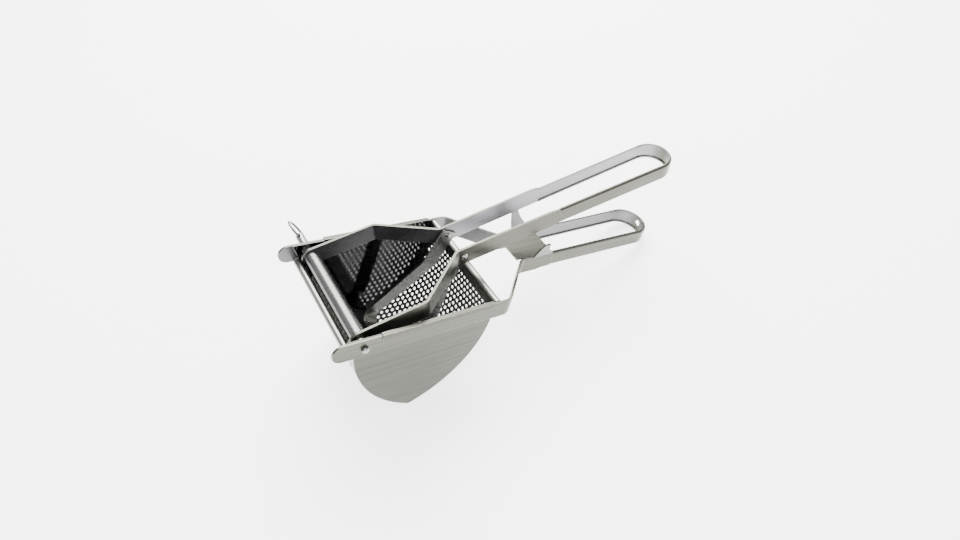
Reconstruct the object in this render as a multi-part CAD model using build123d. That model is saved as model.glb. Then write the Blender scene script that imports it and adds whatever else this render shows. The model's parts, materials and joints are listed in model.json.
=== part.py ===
from build123d import *
import math
import os

# Stainless-steel potato ricer: a V-shaped hopper between two strap levers.
# Everything is drawn in the frame of the hopper and then tipped into its rest pose.
# Hopper frame: X from the hinge towards the handles, Y across, Z up.
# Z = 0 is the top edge of the frame strap, and X = 0 is the hinge axis.

# ---- strap stock ----
STRAP_HEIGHT = 14.5
STRAP_THICKNESS = 2.0

# ---- frame strap ----
FRAME_WIDTH = 100.0
EAR_REACH = 21.7
FRAME_SPLAY_START = 111.5
FRAME_NECK = 144.4
FRAME_BEND = 8.0
FRAME_NECK_WIDTH = 31.8
FRAME_STEP = 162.0
FRAME_LOOP_CENTRE = 271.2
FRAME_LOOP_WIDTH = 34.4

# ---- rolled channel of both grips ----
GRIP_HEIGHT = 13.4
GRIP_FLANGE = 2.6
GRIP_CORNER = 1.8
GRIP_WALL = 1.5
STEP_LENGTH = 5.0
HANG_HOLE = 5.0

# ---- lever strap, seen along its own length ----
LEVER_WIDTH = 85.6
LEVER_SPLAY_START = 48.6
LEVER_NECK = 87.0
LEVER_BEND = 5.0
LEVER_NECK_WIDTH = 27.8
LEVER_STEP = 168.0
LEVER_GRIP_START = 174.0
LEVER_LOOP_CENTRE = 274.2
LEVER_LOOP_WIDTH = 33.0
LEVER_REST_ANGLE = 14.6

# ---- hopper sheet ----
SHEET = 0.8
HOPPER_FRONT_TOP = 12.0
FRONT_WALL_REACH = 6.2
HOPPER_REAR = 99.6
HOPPER_REAR_BEND = -8.0
FRONT_BELLY = (6.3, -53.3)
REAR_BELLY = (84.4, -58.4)
V_BOTTOM = (44.4, -88.7)
HEM_START = 11.5
HEM_END = 97.0
HEM_DEPTH = 3.0
FRONT_LIP_RADIUS = 2.7
FRONT_LIP_TURN = 250.0
REAR_RIM_RADIUS = 2.9
REAR_RIM_TURN = 270.0
RIM_SIDE_GAP = 0.6

# ---- perforation of both walls ----
HOLE_DIAMETER = 2.5
HOLE_PITCH = 4.3
HOLE_ROW_PITCH = 4.3
HOLE_SIDE_MARGIN = 5.0
HOLE_REAR_MARGIN = 4.0
HOLE_FRONT_MARGIN = 12.0
HOLE_BOTTOM_MARGIN = 7.0
DRILL_LENGTH = 4.0

# ---- hinge ----
PIN_DIAMETER = 5.0
RUNNING_CLEARANCE = 0.1
KNUCKLE_DIAMETER = 10.6
SPACER_DIAMETER = 9.0
SIDE_PLAY = 0.2
PIN_PROTRUSION = 2.6
PIN_TIP_CHAMFER = 0.8
PIN_HEAD_DIAMETER = 6.6
PIN_HEAD_LENGTH = 16.0
PIN_HEAD_CHAMFER = 1.0
PIN_HEAD_GAP = 0.4

# ---- pull ring ----
RING_OUTER_DIAMETER = 19.0
RING_WIRE = 1.8
RING_HOLE = 3.2
RING_HOLE_MARGIN = 3.4
RING_LEAN = 39.0

# ---- pressing plate and its brace ----
PLATE_THICKNESS = 1.5
PLATE_WALL_GAP = 3.0
PLATE_SIDE_GAP = 0.9
PLATE_NOTCH_DEPTH = 20.0
BRACE_WIDTH = 12.5
BRACE_THICKNESS = 1.6
BRACE_NOSE_WIDTH = 75.0
BRACE_CORNER = 6.0
BRACE_FRONT_EDGE = (41.5, -78.0)
BRACE_END = 3.4
BRACE_LAP = 30.0
BRACE_TOP_MARGIN = 1.0
RIVET_PLACE = 92.5
RIVET_DIAMETER = 3.4
RIVET_HEAD_DIAMETER = 5.4
RIVET_HEAD_HEIGHT = 1.2

# ---- guard plate between the frame legs ----
GUARD_THICKNESS = 1.5
GUARD_FRONT = 140.6
GUARD_REAR = 175.0
WING_FRONT = 155.5
WING_REAR = 164.5
WING_TIP_LENGTH = 5.4
WING_TIP_CORNER = 1.5
WING_BULGE = (155.0, 10.0)
WING_WAIST = (165.0, 11.4)
WING_FLARE = (172.5, 4.4)
WING_LIFT = 1.9
WING_HEIGHT = 20.8
WING_LEAN = 22.0
GUARD_GAP = 0.1

# ---- derived places ----
HINGE_Z = -STRAP_HEIGHT / 2
HOPPER_FRONT_BEND = (-FRONT_WALL_REACH, -STRAP_HEIGHT)
HALF_FRAME = FRAME_WIDTH / 2
FRAME_INNER = HALF_FRAME - STRAP_THICKNESS
HOPPER_INNER = FRAME_INNER - SHEET
HALF_FRAME_NECK = FRAME_NECK_WIDTH / 2
HALF_FRAME_LOOP = FRAME_LOOP_WIDTH / 2
FRAME_GRIP_START = GUARD_REAR + GUARD_GAP
HALF_LEVER = LEVER_WIDTH / 2
LEVER_INNER = HALF_LEVER - STRAP_THICKNESS
HALF_LEVER_NECK = LEVER_NECK_WIDTH / 2
HALF_LEVER_LOOP = LEVER_LOOP_WIDTH / 2
PIN_HOLE = PIN_DIAMETER / 2 + RUNNING_CLEARANCE
GRIP_DROP = STRAP_HEIGHT - GRIP_HEIGHT


def circle_through(a, b, c):
    """Centre and radius of the circle through three points."""
    ax, ay = a
    bx, by = b
    cx, cy = c
    d = 2 * (ax * (by - cy) + bx * (cy - ay) + cx * (ay - by))
    sa = ax * ax + ay * ay
    sb = bx * bx + by * by
    sc = cx * cx + cy * cy
    ux = (sa * (by - cy) + sb * (cy - ay) + sc * (ay - by)) / d
    uy = (sa * (cx - bx) + sb * (ax - cx) + sc * (bx - ax)) / d
    return (ux, uy), math.hypot(ax - ux, ay - uy)


def bent_strip(points, radii, width):
    """Face of one width along a line of points, bent with a radius at each inner point."""
    left = []
    right = []
    for side, edges in ((0.5, left), (-0.5, right)):
        cursor = None
        for i, point in enumerate(points):
            here = Vector(*point)
            if i > 0:
                before = (here - Vector(*points[i - 1])).normalized()
            if i < len(points) - 1:
                after = (Vector(*points[i + 1]) - here).normalized()
            if i == 0:
                cursor = here + Vector(-after.Y, after.X) * side * width
                continue
            if i == len(points) - 1:
                end = here + Vector(-before.Y, before.X) * side * width
                edges.append(Line(cursor, end))
                cursor = end
                continue
            turn = math.atan2(before.X * after.Y - before.Y * after.X, before.dot(after))
            sign = math.copysign(1, turn)
            radius = radii[i - 1]
            reach = radius * math.tan(abs(turn) / 2)
            start = here - before * reach
            centre = start + Vector(-before.Y, before.X) * sign * radius
            outward = (here - centre).normalized()
            bend = radius - sign * side * width
            arc_start = start + Vector(-before.Y, before.X) * side * width
            arc_end = here + after * reach + Vector(-after.Y, after.X) * side * width
            if (arc_start - cursor).length > 1e-6:
                edges.append(Line(cursor, arc_start))
            edges.append(ThreePointArc(arc_start, centre + outward * bend, arc_end))
            cursor = arc_end
    caps = [Line(left[0] @ 0, right[0] @ 0), Line(left[-1] @ 1, right[-1] @ 1)]
    return Face(Wire(left + right + caps))


def across(profile, low, high):
    """Prism of a profile drawn in X and Z, from Y = low to Y = high."""
    plane = Plane(origin=(0, low, 0), x_dir=(1, 0, 0), z_dir=(0, -1, 0))
    return extrude(plane * profile, high - low, dir=(0, 1, 0))


def y_cylinder(radius, low, high, x=0.0, z=0.0):
    """Cylinder along Y."""
    plane = Plane(origin=(x, low, z), z_dir=(0, 1, 0))
    return plane * Cylinder(radius, high - low, align=(Align.CENTER, Align.CENTER, Align.MIN))


def box(x, y, z):
    """Box from three (low, high) pairs."""
    size = [high - low for low, high in (x, y, z)]
    corner = Pos(x[0], y[0], z[0])
    return corner * Box(*size, align=(Align.MIN, Align.MIN, Align.MIN))


def mirrored(solid):
    """The same piece on the far side."""
    return mirror(solid, about=Plane.XZ)


# ---- straps and grips, shared by the frame and the lever ----
def spread_angle(neck, half_neck, loop_centre, half_loop):
    """Angle in radians at which a strap leaves its neck to meet its loop on a tangent."""
    run = loop_centre - neck
    middle = STRAP_THICKNESS / 2
    reach = math.hypot(run, half_neck - middle)
    return math.atan2(run, half_neck - middle) - math.acos((half_loop - middle) / reach)


def strap_arm(tail, half, splay, neck, half_neck, bend, end, spread):
    """Near arm of a strap lever, from its rounded tail to the start of its grip."""
    middle = STRAP_THICKNESS / 2
    line = [
        (-tail, -half + middle),
        (splay, -half + middle),
        (neck, -half_neck + middle),
        (end, -half_neck + middle - (end - neck) * math.tan(spread)),
    ]
    plan = bent_strip(line, [bend + middle, bend + middle], STRAP_THICKNESS)
    arm = extrude(Pos(0, 0, -STRAP_HEIGHT / 2) * plan, STRAP_HEIGHT, dir=(0, 0, 1))
    round_end = STRAP_HEIGHT / 2
    length = end + tail
    body = Pos(-tail + round_end + length / 2, 0) * Rectangle(length, STRAP_HEIGHT)
    profile = body + Pos(-tail + round_end, 0) * Circle(round_end)
    arm = arm & across(profile, -half - 1, half + 1)
    return arm - y_cylinder(PIN_HOLE, -half - 1, 0)


def step_cut(start, end, side):
    """Material taken off one edge of a strap where it narrows to its grip."""
    edge = side * STRAP_HEIGHT / 2
    shoulder = edge - side * GRIP_DROP
    outline = Polyline(
        (start, edge),
        (start + STEP_LENGTH, shoulder),
        (end + 1, shoulder),
        (end + 1, edge + side),
        (start, edge + side),
        close=True,
    )
    return across(make_face(outline), -HALF_FRAME, HALF_FRAME)


def channel():
    """Section of a grip, open towards -X, with its outer face on X = 0."""
    outer = Pos(-GRIP_FLANGE / 2, 0) * Rectangle(GRIP_FLANGE, GRIP_HEIGHT)
    outer = fillet(outer.vertices().group_by(Axis.X)[-1], GRIP_CORNER)
    depth = GRIP_FLANGE - GRIP_WALL
    inner = Pos(-GRIP_WALL - depth / 2, 0) * Rectangle(depth, GRIP_HEIGHT - 2 * GRIP_WALL)
    inner = fillet(inner.vertices().group_by(Axis.X)[-1], GRIP_CORNER - GRIP_WALL)
    return outer - inner


def grip_section(x, y, spread):
    """Channel section across a near leg, whose middle line passes through (x, y)."""
    outward = Vector(-math.sin(spread), -math.cos(spread), 0)
    forward = Vector(math.cos(spread), -math.sin(spread), 0)
    origin = Vector(x, y, 0) + outward * STRAP_THICKNESS / 2
    return Plane(origin=origin, x_dir=outward, z_dir=forward) * mirror(channel(), about=Plane.XZ)


def grip(start, neck, half_neck, loop_centre, half_loop, spread):
    """Near leg of a grip and its loop, with the section centred on Z = 0."""
    middle = STRAP_THICKNESS / 2
    first = Vector(start, -half_neck + middle - (start - neck) * math.tan(spread), 0)
    radius = half_loop - middle
    last = Vector(loop_centre - radius * math.sin(spread), -radius * math.cos(spread), 0)
    run = last - first
    leg = extrude(grip_section(first.X, first.Y, spread), run.length, dir=tuple(run.normalized()))
    turn = 180 + 2 * math.degrees(spread)
    axis = Axis((loop_centre, 0, 0), (0, 0, 1))
    return leg, revolve(grip_section(last.X, last.Y, spread), axis, turn)


# ---- frame ----
FRAME_SPREAD = spread_angle(FRAME_NECK, HALF_FRAME_NECK, FRAME_LOOP_CENTRE, HALF_FRAME_LOOP)


def frame_half(x):
    """Half of the frame's width over its straps, behind the neck."""
    return HALF_FRAME_NECK + (x - FRAME_NECK) * math.tan(FRAME_SPREAD)


def frame_strap():
    """Near arm, near grip leg and loop of the lower strap."""
    arm = strap_arm(
        EAR_REACH,
        HALF_FRAME,
        FRAME_SPLAY_START,
        FRAME_NECK,
        HALF_FRAME_NECK,
        FRAME_BEND,
        FRAME_GRIP_START,
        FRAME_SPREAD,
    )
    arm = Pos(0, 0, HINGE_Z) * (arm - step_cut(FRAME_STEP, FRAME_GRIP_START, -1))
    seat = box((WING_FRONT, WING_REAR), (-HALF_FRAME, 0), (-GUARD_THICKNESS, STRAP_HEIGHT))
    leg, loop = grip(
        FRAME_GRIP_START, FRAME_NECK, HALF_FRAME_NECK, FRAME_LOOP_CENTRE, HALF_FRAME_LOOP, FRAME_SPREAD
    )
    drop = Pos(0, 0, -GRIP_HEIGHT / 2)
    end_plane = Plane(origin=(FRAME_LOOP_CENTRE, 0, 0), z_dir=(1, 0, 0))
    hole = end_plane * Cylinder(HANG_HOLE / 2, FRAME_LOOP_WIDTH * 2)
    return arm - seat, drop * leg, drop * (loop - hole)


def wing():
    """Near wing of the guard: crosses the strap in its seat, then leans up and out."""
    edge = -frame_half(WING_REAR)
    root = box((WING_FRONT, WING_REAR), (edge, 0), (-GUARD_THICKNESS, 0))
    tip_front = (WING_FRONT, WING_HEIGHT)
    tip_rear = (WING_FRONT + WING_TIP_LENGTH, WING_HEIGHT)
    edges = [
        Line((WING_FRONT, 0), (WING_REAR, 0)),
        Line((WING_REAR, 0), (WING_REAR, WING_LIFT)),
        Line((WING_REAR, WING_LIFT), (WING_FLARE[0], WING_LIFT)),
        Line((WING_FLARE[0], WING_LIFT), WING_FLARE),
        ThreePointArc(WING_FLARE, WING_WAIST, tip_rear),
        Line(tip_rear, tip_front),
        ThreePointArc(tip_front, WING_BULGE, (WING_FRONT, WING_LIFT)),
        Line((WING_FRONT, WING_LIFT), (WING_FRONT, 0)),
    ]
    outline = Face(Wire(edges))
    outline = fillet(outline.vertices().group_by(Axis.Y)[-1], WING_TIP_CORNER)
    blade = across(outline, 0, GUARD_THICKNESS)
    blade = Pos(0, edge, -GUARD_THICKNESS) * Rot(WING_LEAN, 0, 0) * blade
    over = box((GUARD_FRONT, GUARD_REAR), (-FRAME_WIDTH, 0), (-GUARD_THICKNESS, WING_HEIGHT))
    return root + (blade & over)


def guard_plate():
    """Plate between the frame legs, with a wing over each leg."""
    front = HALF_FRAME_NECK - STRAP_THICKNESS - GUARD_GAP
    rear = frame_half(GUARD_REAR) - STRAP_THICKNESS - GUARD_GAP
    corners = [(GUARD_FRONT, front), (FRAME_NECK, front), (GUARD_REAR, rear)]
    other = [(x, -y) for x, y in reversed(corners)]
    outline = make_face(Polyline(*corners, *other, close=True))
    web = extrude(Pos(0, 0, -GUARD_THICKNESS) * outline, GUARD_THICKNESS, dir=(0, 0, 1))
    near = wing()
    return web + near + mirrored(near)


# ---- hopper ----
FRONT_CENTRE, FRONT_RADIUS = circle_through(HOPPER_FRONT_BEND, FRONT_BELLY, V_BOTTOM)
REAR_CENTRE, REAR_RADIUS = circle_through((HOPPER_REAR, HOPPER_REAR_BEND), REAR_BELLY, V_BOTTOM)


def hopper_outline():
    """Side outline of the hopper: two bellied walls that meet in a V."""
    top_front = (-HOPPER_FRONT_TOP, 0)
    top_rear = (HOPPER_REAR, 0)
    rear_bend = (HOPPER_REAR, HOPPER_REAR_BEND)
    edges = [
        Line(top_front, top_rear),
        Line(top_rear, rear_bend),
        ThreePointArc(rear_bend, REAR_BELLY, V_BOTTOM),
        ThreePointArc(V_BOTTOM, FRONT_BELLY, HOPPER_FRONT_BEND),
        Line(HOPPER_FRONT_BEND, top_front),
    ]
    return Face(Wire(edges))


def side_plate():
    """Near side of the hopper, hemmed over the frame strap."""
    plate = across(hopper_outline(), -FRAME_INNER, -HOPPER_INNER)
    plate = plate + box((HEM_START, HEM_END), (-HALF_FRAME - SHEET, -HOPPER_INNER), (0, SHEET))
    plate = plate + box((HEM_START, HEM_END), (-HALF_FRAME - SHEET, -HALF_FRAME), (-HEM_DEPTH, SHEET))
    return plate - y_cylinder(PIN_HOLE, -HALF_FRAME, 0, 0, HINGE_Z)


def curl(wall_x, radius, turn, side):
    """Section of a rim that rolls outward from the top of a wall, with its top on Z = 0."""
    middle = radius - SHEET / 2
    centre = Vector(wall_x + side * radius, -radius)
    start = 180 if side > 0 else 0
    edges = []
    for grow in (SHEET / 2, -SHEET / 2):
        edges.append(CenterArc(centre, middle + grow, start, -side * turn))
    edges.append(Line(edges[0] @ 0, edges[1] @ 0))
    edges.append(Line(edges[0] @ 1, edges[1] @ 1))
    return Face(Wire(edges))


def wall_section():
    """Sheet that follows the hopper outline, open at the top."""
    outline = hopper_outline()
    inside = offset(outline, -SHEET, kind=Kind.INTERSECTION)
    return outline - inside


def wall_blank(low_x, high_x, top):
    """Blank of one wall between the side plates."""
    half = HOPPER_INNER
    section = wall_section()
    depth = -V_BOTTOM[1] + 1 + top
    window = Pos((low_x + high_x) / 2, top - depth / 2) * Rectangle(high_x - low_x, depth)
    return across(section & window, -half, half)


def perforation(centre, radius, start_angle, end_angle):
    """Staggered round holes square to a curved wall."""
    half = HOPPER_INNER - HOLE_SIDE_MARGIN
    row_angle = math.degrees(HOLE_ROW_PITCH / radius)
    rows = int(abs(end_angle - start_angle) / row_angle)
    step = math.copysign(row_angle, end_angle - start_angle)
    columns = int(2 * half / HOLE_PITCH)
    drills = []
    for row in range(rows + 1):
        angle = math.radians(start_angle + row * step)
        out = Vector(math.cos(angle), 0, math.sin(angle))
        at = Vector(centre[0], 0, centre[1]) + out * (radius - SHEET / 2)
        count = columns + 1 - row % 2
        for column in range(count):
            y = (column - (count - 1) / 2) * HOLE_PITCH
            place = Plane(origin=at + Vector(0, y, 0), z_dir=out)
            drills.append(place * Cylinder(HOLE_DIAMETER / 2, DRILL_LENGTH))
    return drills


def angle_of(centre, point):
    """Direction from a centre to a point, in degrees."""
    return math.degrees(math.atan2(point[1] - centre[1], point[0] - centre[0]))


def front_wall():
    """Perforated front wall with its forward lip."""
    end_x, end_z = HOPPER_FRONT_BEND
    lip = Pos(0, end_z + FRONT_LIP_RADIUS) * curl(end_x + SHEET, FRONT_LIP_RADIUS, FRONT_LIP_TURN, -1)
    wall = wall_blank(-HOPPER_FRONT_TOP - 1, V_BOTTOM[0], end_z)
    half = HOPPER_INNER - RIM_SIDE_GAP
    wall = wall + across(lip, -half, half)
    start = angle_of(FRONT_CENTRE, HOPPER_FRONT_BEND) % 360
    end = angle_of(FRONT_CENTRE, V_BOTTOM) % 360
    top = math.degrees(HOLE_FRONT_MARGIN / FRONT_RADIUS)
    bottom = math.degrees(HOLE_BOTTOM_MARGIN / FRONT_RADIUS)
    return wall - perforation(FRONT_CENTRE, FRONT_RADIUS, start + top, end - bottom)


def rear_wall():
    """Perforated rear wall with its rolled rim."""
    rim = curl(HOPPER_REAR - SHEET, REAR_RIM_RADIUS, REAR_RIM_TURN, 1)
    wall = wall_blank(V_BOTTOM[0], HOPPER_REAR + 1, -REAR_RIM_RADIUS)
    half = HOPPER_INNER - RIM_SIDE_GAP
    wall = wall + across(rim, -half, half)
    start = angle_of(REAR_CENTRE, (HOPPER_REAR, HOPPER_REAR_BEND))
    end = angle_of(REAR_CENTRE, V_BOTTOM)
    top = math.degrees(HOLE_REAR_MARGIN / REAR_RADIUS)
    bottom = math.degrees(HOLE_BOTTOM_MARGIN / REAR_RADIUS)
    return wall - perforation(REAR_CENTRE, REAR_RADIUS, start - top, end + bottom)


# ---- lever ----
LEVER_PLACE = Pos(0, 0, HINGE_Z) * Rot(0, -LEVER_REST_ANGLE, 0)


def lever_point(along, above):
    """Point of the lever's own frame, in the hopper's X and Z."""
    turn = math.radians(LEVER_REST_ANGLE)
    x = along * math.cos(turn) - above * math.sin(turn)
    z = HINGE_Z + along * math.sin(turn) + above * math.cos(turn)
    return x, z


LEVER_SPREAD = spread_angle(LEVER_NECK, HALF_LEVER_NECK, LEVER_LOOP_CENTRE, HALF_LEVER_LOOP)


def lever_strap():
    """Near arm, near grip leg and loop of the upper strap."""
    arm = strap_arm(
        STRAP_HEIGHT / 2,
        HALF_LEVER,
        LEVER_SPLAY_START,
        LEVER_NECK,
        HALF_LEVER_NECK,
        LEVER_BEND,
        LEVER_GRIP_START,
        LEVER_SPREAD,
    )
    arm = arm - step_cut(LEVER_STEP, LEVER_GRIP_START, 1)
    arm = arm - y_cylinder(RIVET_DIAMETER / 2, -HALF_LEVER, 0, RIVET_PLACE, 0)
    leg, loop = grip(
        LEVER_GRIP_START, LEVER_NECK, HALF_LEVER_NECK, LEVER_LOOP_CENTRE, HALF_LEVER_LOOP, LEVER_SPREAD
    )
    drop = Pos(0, 0, -GRIP_DROP / 2)
    return LEVER_PLACE * arm, LEVER_PLACE * drop * leg, LEVER_PLACE * drop * loop


RIVET_POINT = lever_point(RIVET_PLACE, 0)
BRACE_RUN = math.hypot(RIVET_POINT[0] - BRACE_FRONT_EDGE[0], RIVET_POINT[1] - BRACE_FRONT_EDGE[1])
BRACE_ANGLE = math.atan2(RIVET_POINT[1] - BRACE_FRONT_EDGE[1], RIVET_POINT[0] - BRACE_FRONT_EDGE[0])
BRACE_ANGLE = BRACE_ANGLE + math.asin(BRACE_WIDTH / 2 / BRACE_RUN)
BRACE_ALONG = Vector(math.cos(BRACE_ANGLE), 0, math.sin(BRACE_ANGLE))
BRACE_OVER = Vector(math.sin(BRACE_ANGLE), 0, -math.cos(BRACE_ANGLE))
BRACE_LENGTH = math.sqrt(BRACE_RUN**2 - (BRACE_WIDTH / 2) ** 2)


def press_brace():
    """U-shaped strap from the lever's neck down to the nose of the pressing plate."""
    middle = BRACE_THICKNESS / 2
    neck = HALF_LEVER_NECK - STRAP_THICKNESS - middle
    nose = BRACE_NOSE_WIDTH / 2 - middle
    top = BRACE_LENGTH + BRACE_END
    knee = BRACE_LENGTH + BRACE_END - BRACE_LAP
    line = [(-neck, top), (-neck, knee), (-nose, middle), (nose, middle), (neck, knee), (neck, top)]
    bend = BRACE_CORNER + middle
    plan = bent_strip(line, [bend, bend, bend, bend], BRACE_THICKNESS)
    origin = (BRACE_FRONT_EDGE[0], 0, BRACE_FRONT_EDGE[1])
    plane = Plane(origin=origin, x_dir=(0, 1, 0), z_dir=BRACE_OVER)
    strap = extrude(plane * plan, BRACE_WIDTH, dir=tuple(BRACE_OVER))
    trim = STRAP_HEIGHT / 2 - BRACE_TOP_MARGIN
    above = box((0, FRAME_WIDTH * 2), (-HALF_LEVER, HALF_LEVER), (trim, trim + STRAP_HEIGHT))
    strap = strap - LEVER_PLACE * above
    return strap - y_cylinder(RIVET_DIAMETER / 2, -HALF_LEVER, HALF_LEVER, RIVET_POINT[0], RIVET_POINT[1])


def brace_rivets():
    """Two rivets, each with a domed head on both sides."""
    head = RIVET_HEAD_DIAMETER / 2
    outside = -HALF_LEVER_NECK - (RIVET_PLACE + head - LEVER_NECK) * math.tan(LEVER_SPREAD)
    inside = -HALF_LEVER_NECK + STRAP_THICKNESS + BRACE_THICKNESS
    rivet = y_cylinder(RIVET_DIAMETER / 2, outside, inside)
    ball = (head**2 + RIVET_HEAD_HEIGHT**2) / (2 * RIVET_HEAD_HEIGHT)
    for face, side in ((outside, -1), (inside, 1)):
        dome = Pos(0, face - side * (ball - RIVET_HEAD_HEIGHT), 0) * Sphere(ball)
        keep = sorted((face, face + side * RIVET_HEAD_HEIGHT))
        rivet = rivet + (dome & y_cylinder(head, keep[0], keep[1]))
    rivet = Pos(RIVET_POINT[0], 0, RIVET_POINT[1]) * rivet
    return Compound(children=[rivet, mirrored(rivet)])


def pressing_plate():
    """Plate that hangs from the hinge knuckle and ends in a flat nose under the brace."""
    inner = FRONT_RADIUS - SHEET - PLATE_WALL_GAP - PLATE_THICKNESS
    outer = inner + PLATE_THICKNESS
    edge = Vector(BRACE_FRONT_EDGE[0], BRACE_FRONT_EDGE[1])
    along = Vector(BRACE_ALONG.X, BRACE_ALONG.Z)
    over = Vector(BRACE_OVER.X, BRACE_OVER.Z)
    centre = Vector(*FRONT_CENTRE)
    nose = edge + over * BRACE_WIDTH
    reach = edge - centre
    run = -reach.dot(over) - math.sqrt(reach.dot(over) ** 2 - reach.dot(reach) + inner**2)
    far_run = -reach.dot(over) + math.sqrt(reach.dot(over) ** 2 - reach.dot(reach) + inner**2)
    run = run if abs(run) < abs(far_run) else far_run
    heel = edge + over * run
    low = edge - along * PLATE_THICKNESS
    reach = low - centre
    root = math.sqrt(reach.dot(over) ** 2 - reach.dot(reach) + outer**2)
    runs = (-reach.dot(over) - root, -reach.dot(over) + root)
    low_heel = low + over * min(runs, key=abs)
    knuckle = KNUCKLE_DIAMETER / 2
    hinge = Vector(0, HINGE_Z)
    top_angle = math.asin((HINGE_Z - knuckle - centre.Y) / outer)
    top_angle = math.pi - top_angle
    spoke = Vector(math.cos(top_angle), math.sin(top_angle))
    top_outer = centre + spoke * outer
    top_inner = centre + spoke * inner
    start = math.degrees(top_angle)
    end_inner = angle_of(FRONT_CENTRE, (heel.X, heel.Y)) % 360
    end_outer = angle_of(FRONT_CENTRE, (low_heel.X, low_heel.Y)) % 360
    edges = [
        CenterArc(centre, inner, start, end_inner - start),
        CenterArc(centre, outer, start, end_outer - start),
        Line(heel, nose),
        Line(nose, nose - along * PLATE_THICKNESS),
        Line(nose - along * PLATE_THICKNESS, low_heel),
        Line(top_outer, top_inner),
    ]
    sheet = Face(Wire(edges))
    link = make_face(
        Polyline(
            top_outer,
            (top_outer.X + 0.6, hinge.Y),
            (0, hinge.Y + knuckle - 0.3),
            (0, hinge.Y - knuckle + 0.3),
            top_inner,
            close=True,
        )
    )
    half = HOPPER_INNER - PLATE_SIDE_GAP
    plate = across(sheet, -half, half)
    inner_half = LEVER_INNER - SIDE_PLAY
    notch = box((-FRAME_WIDTH, FRAME_WIDTH), (-half - 1, -inner_half), (HINGE_Z - PLATE_NOTCH_DEPTH, 10))
    plate = plate - notch - mirrored(notch)
    plate = plate + across(link, -inner_half, inner_half)
    plate = plate + y_cylinder(knuckle, -inner_half, inner_half, 0, HINGE_Z)
    return plate - y_cylinder(PIN_HOLE, -half, half, 0, HINGE_Z)


# ---- hinge ----
RING_DIRECTION = Vector(-math.sin(math.radians(RING_LEAN)), 0, math.cos(math.radians(RING_LEAN)))
HEAD_START = HALF_FRAME + PIN_HEAD_GAP
HEAD_END = HEAD_START + PIN_HEAD_LENGTH
RING_Y = HEAD_END - RING_HOLE_MARGIN


def hinge_pin():
    """Pull-out pin: a plain shaft with a cross-drilled head on the far side."""
    low = -HALF_FRAME - PIN_PROTRUSION
    pin = y_cylinder(PIN_DIAMETER / 2, low, HEAD_START)
    pin = chamfer(pin.edges().group_by(Axis.Y)[0], PIN_TIP_CHAMFER)
    head = y_cylinder(PIN_HEAD_DIAMETER / 2, HEAD_START, HEAD_END)
    head = chamfer(head.edges().group_by(Axis.Y)[-1], PIN_HEAD_CHAMFER)
    ring_plane = Plane(origin=(0, RING_Y, 0), z_dir=RING_DIRECTION)
    cross = ring_plane * Cylinder(RING_HOLE / 2, 2 * PIN_HEAD_DIAMETER)
    return Pos(0, 0, HINGE_Z) * (pin + head - cross)


def pin_ring():
    """Wire ring through the head of the pin."""
    middle = (RING_OUTER_DIAMETER - RING_WIRE) / 2
    sagitta = middle - math.sqrt(middle**2 - (PIN_HEAD_DIAMETER / 2) ** 2)
    normal = RING_DIRECTION.cross(Vector(0, 1, 0))
    centre = (0, RING_Y + middle - sagitta / 2, HINGE_Z)
    place = Plane(origin=centre, x_dir=(0, 1, 0), z_dir=normal)
    return place * Torus(middle, RING_WIRE / 2)


def hinge_spacer():
    """Near spacer that centres the lever on the pin."""
    low = -HOPPER_INNER + SIDE_PLAY / 2
    high = -HALF_LEVER - SIDE_PLAY / 2
    tube = y_cylinder(SPACER_DIAMETER / 2, low, high) - y_cylinder(PIN_HOLE, low - 1, high + 1)
    return Pos(0, 0, HINGE_Z) * tube


# ---- rest pose ----
def rest_tilt():
    """Turn about Y that puts the V and the end of the frame loop on the ground."""
    tilt = 0.0
    for _ in range(20):
        corner = (FRAME_LOOP_CENTRE + HALF_FRAME_LOOP - GRIP_CORNER, -GRIP_HEIGHT + GRIP_CORNER)
        rise = corner[1] - V_BOTTOM[1] - GRIP_CORNER / math.cos(tilt)
        tilt = math.atan2(rise, corner[0] - V_BOTTOM[0])
    return tilt


def lower_z(tilt):
    """Height of the V below the hopper's own origin, once tipped."""
    return -V_BOTTOM[0] * math.sin(tilt) + V_BOTTOM[1] * math.cos(tilt)


frame_arm, frame_leg, frame_loop = frame_strap()
lever_arm, lever_leg, lever_loop = lever_strap()
side = side_plate()
spacer = hinge_spacer()

nodes = {
    "frame_arm_near": frame_arm,
    "frame_arm_far": mirrored(frame_arm),
    "frame_grip_near": frame_leg,
    "frame_grip_far": mirrored(frame_leg),
    "frame_loop": frame_loop,
    "guard_plate": guard_plate(),
    "hopper_side_near": side,
    "hopper_side_far": mirrored(side),
    "hopper_front_wall": front_wall(),
    "hopper_rear_wall": rear_wall(),
    "lever_arm_near": lever_arm,
    "lever_arm_far": mirrored(lever_arm),
    "lever_grip_near": lever_leg,
    "lever_grip_far": mirrored(lever_leg),
    "lever_loop": lever_loop,
    "pressing_plate": pressing_plate(),
    "press_brace": press_brace(),
    "brace_rivets": brace_rivets(),
    "hinge_pin": hinge_pin(),
    "pin_ring": pin_ring(),
    "hinge_spacer_near": spacer,
    "hinge_spacer_far": mirrored(spacer),
}

TILT = rest_tilt()
tipped = {name: Rot(0, math.degrees(TILT), 0) * solid for name, solid in nodes.items()}
boxes = [solid.bounding_box() for solid in tipped.values()]
middle_x = (min(b.min.X for b in boxes) + max(b.max.X for b in boxes)) / 2
middle_y = (min(b.min.Y for b in boxes) + max(b.max.Y for b in boxes)) / 2
place = Pos(-middle_x, -middle_y, -lower_z(TILT))

os.makedirs("parts", exist_ok=True)
for name, solid in tipped.items():
    export_step(place * solid, f"parts/{name}.step")
print("tilt", math.degrees(TILT), "origin", -middle_x, -middle_y, -lower_z(TILT))
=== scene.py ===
import json
import math

import bmesh
import bpy
from mathutils import Matrix, Vector


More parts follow.
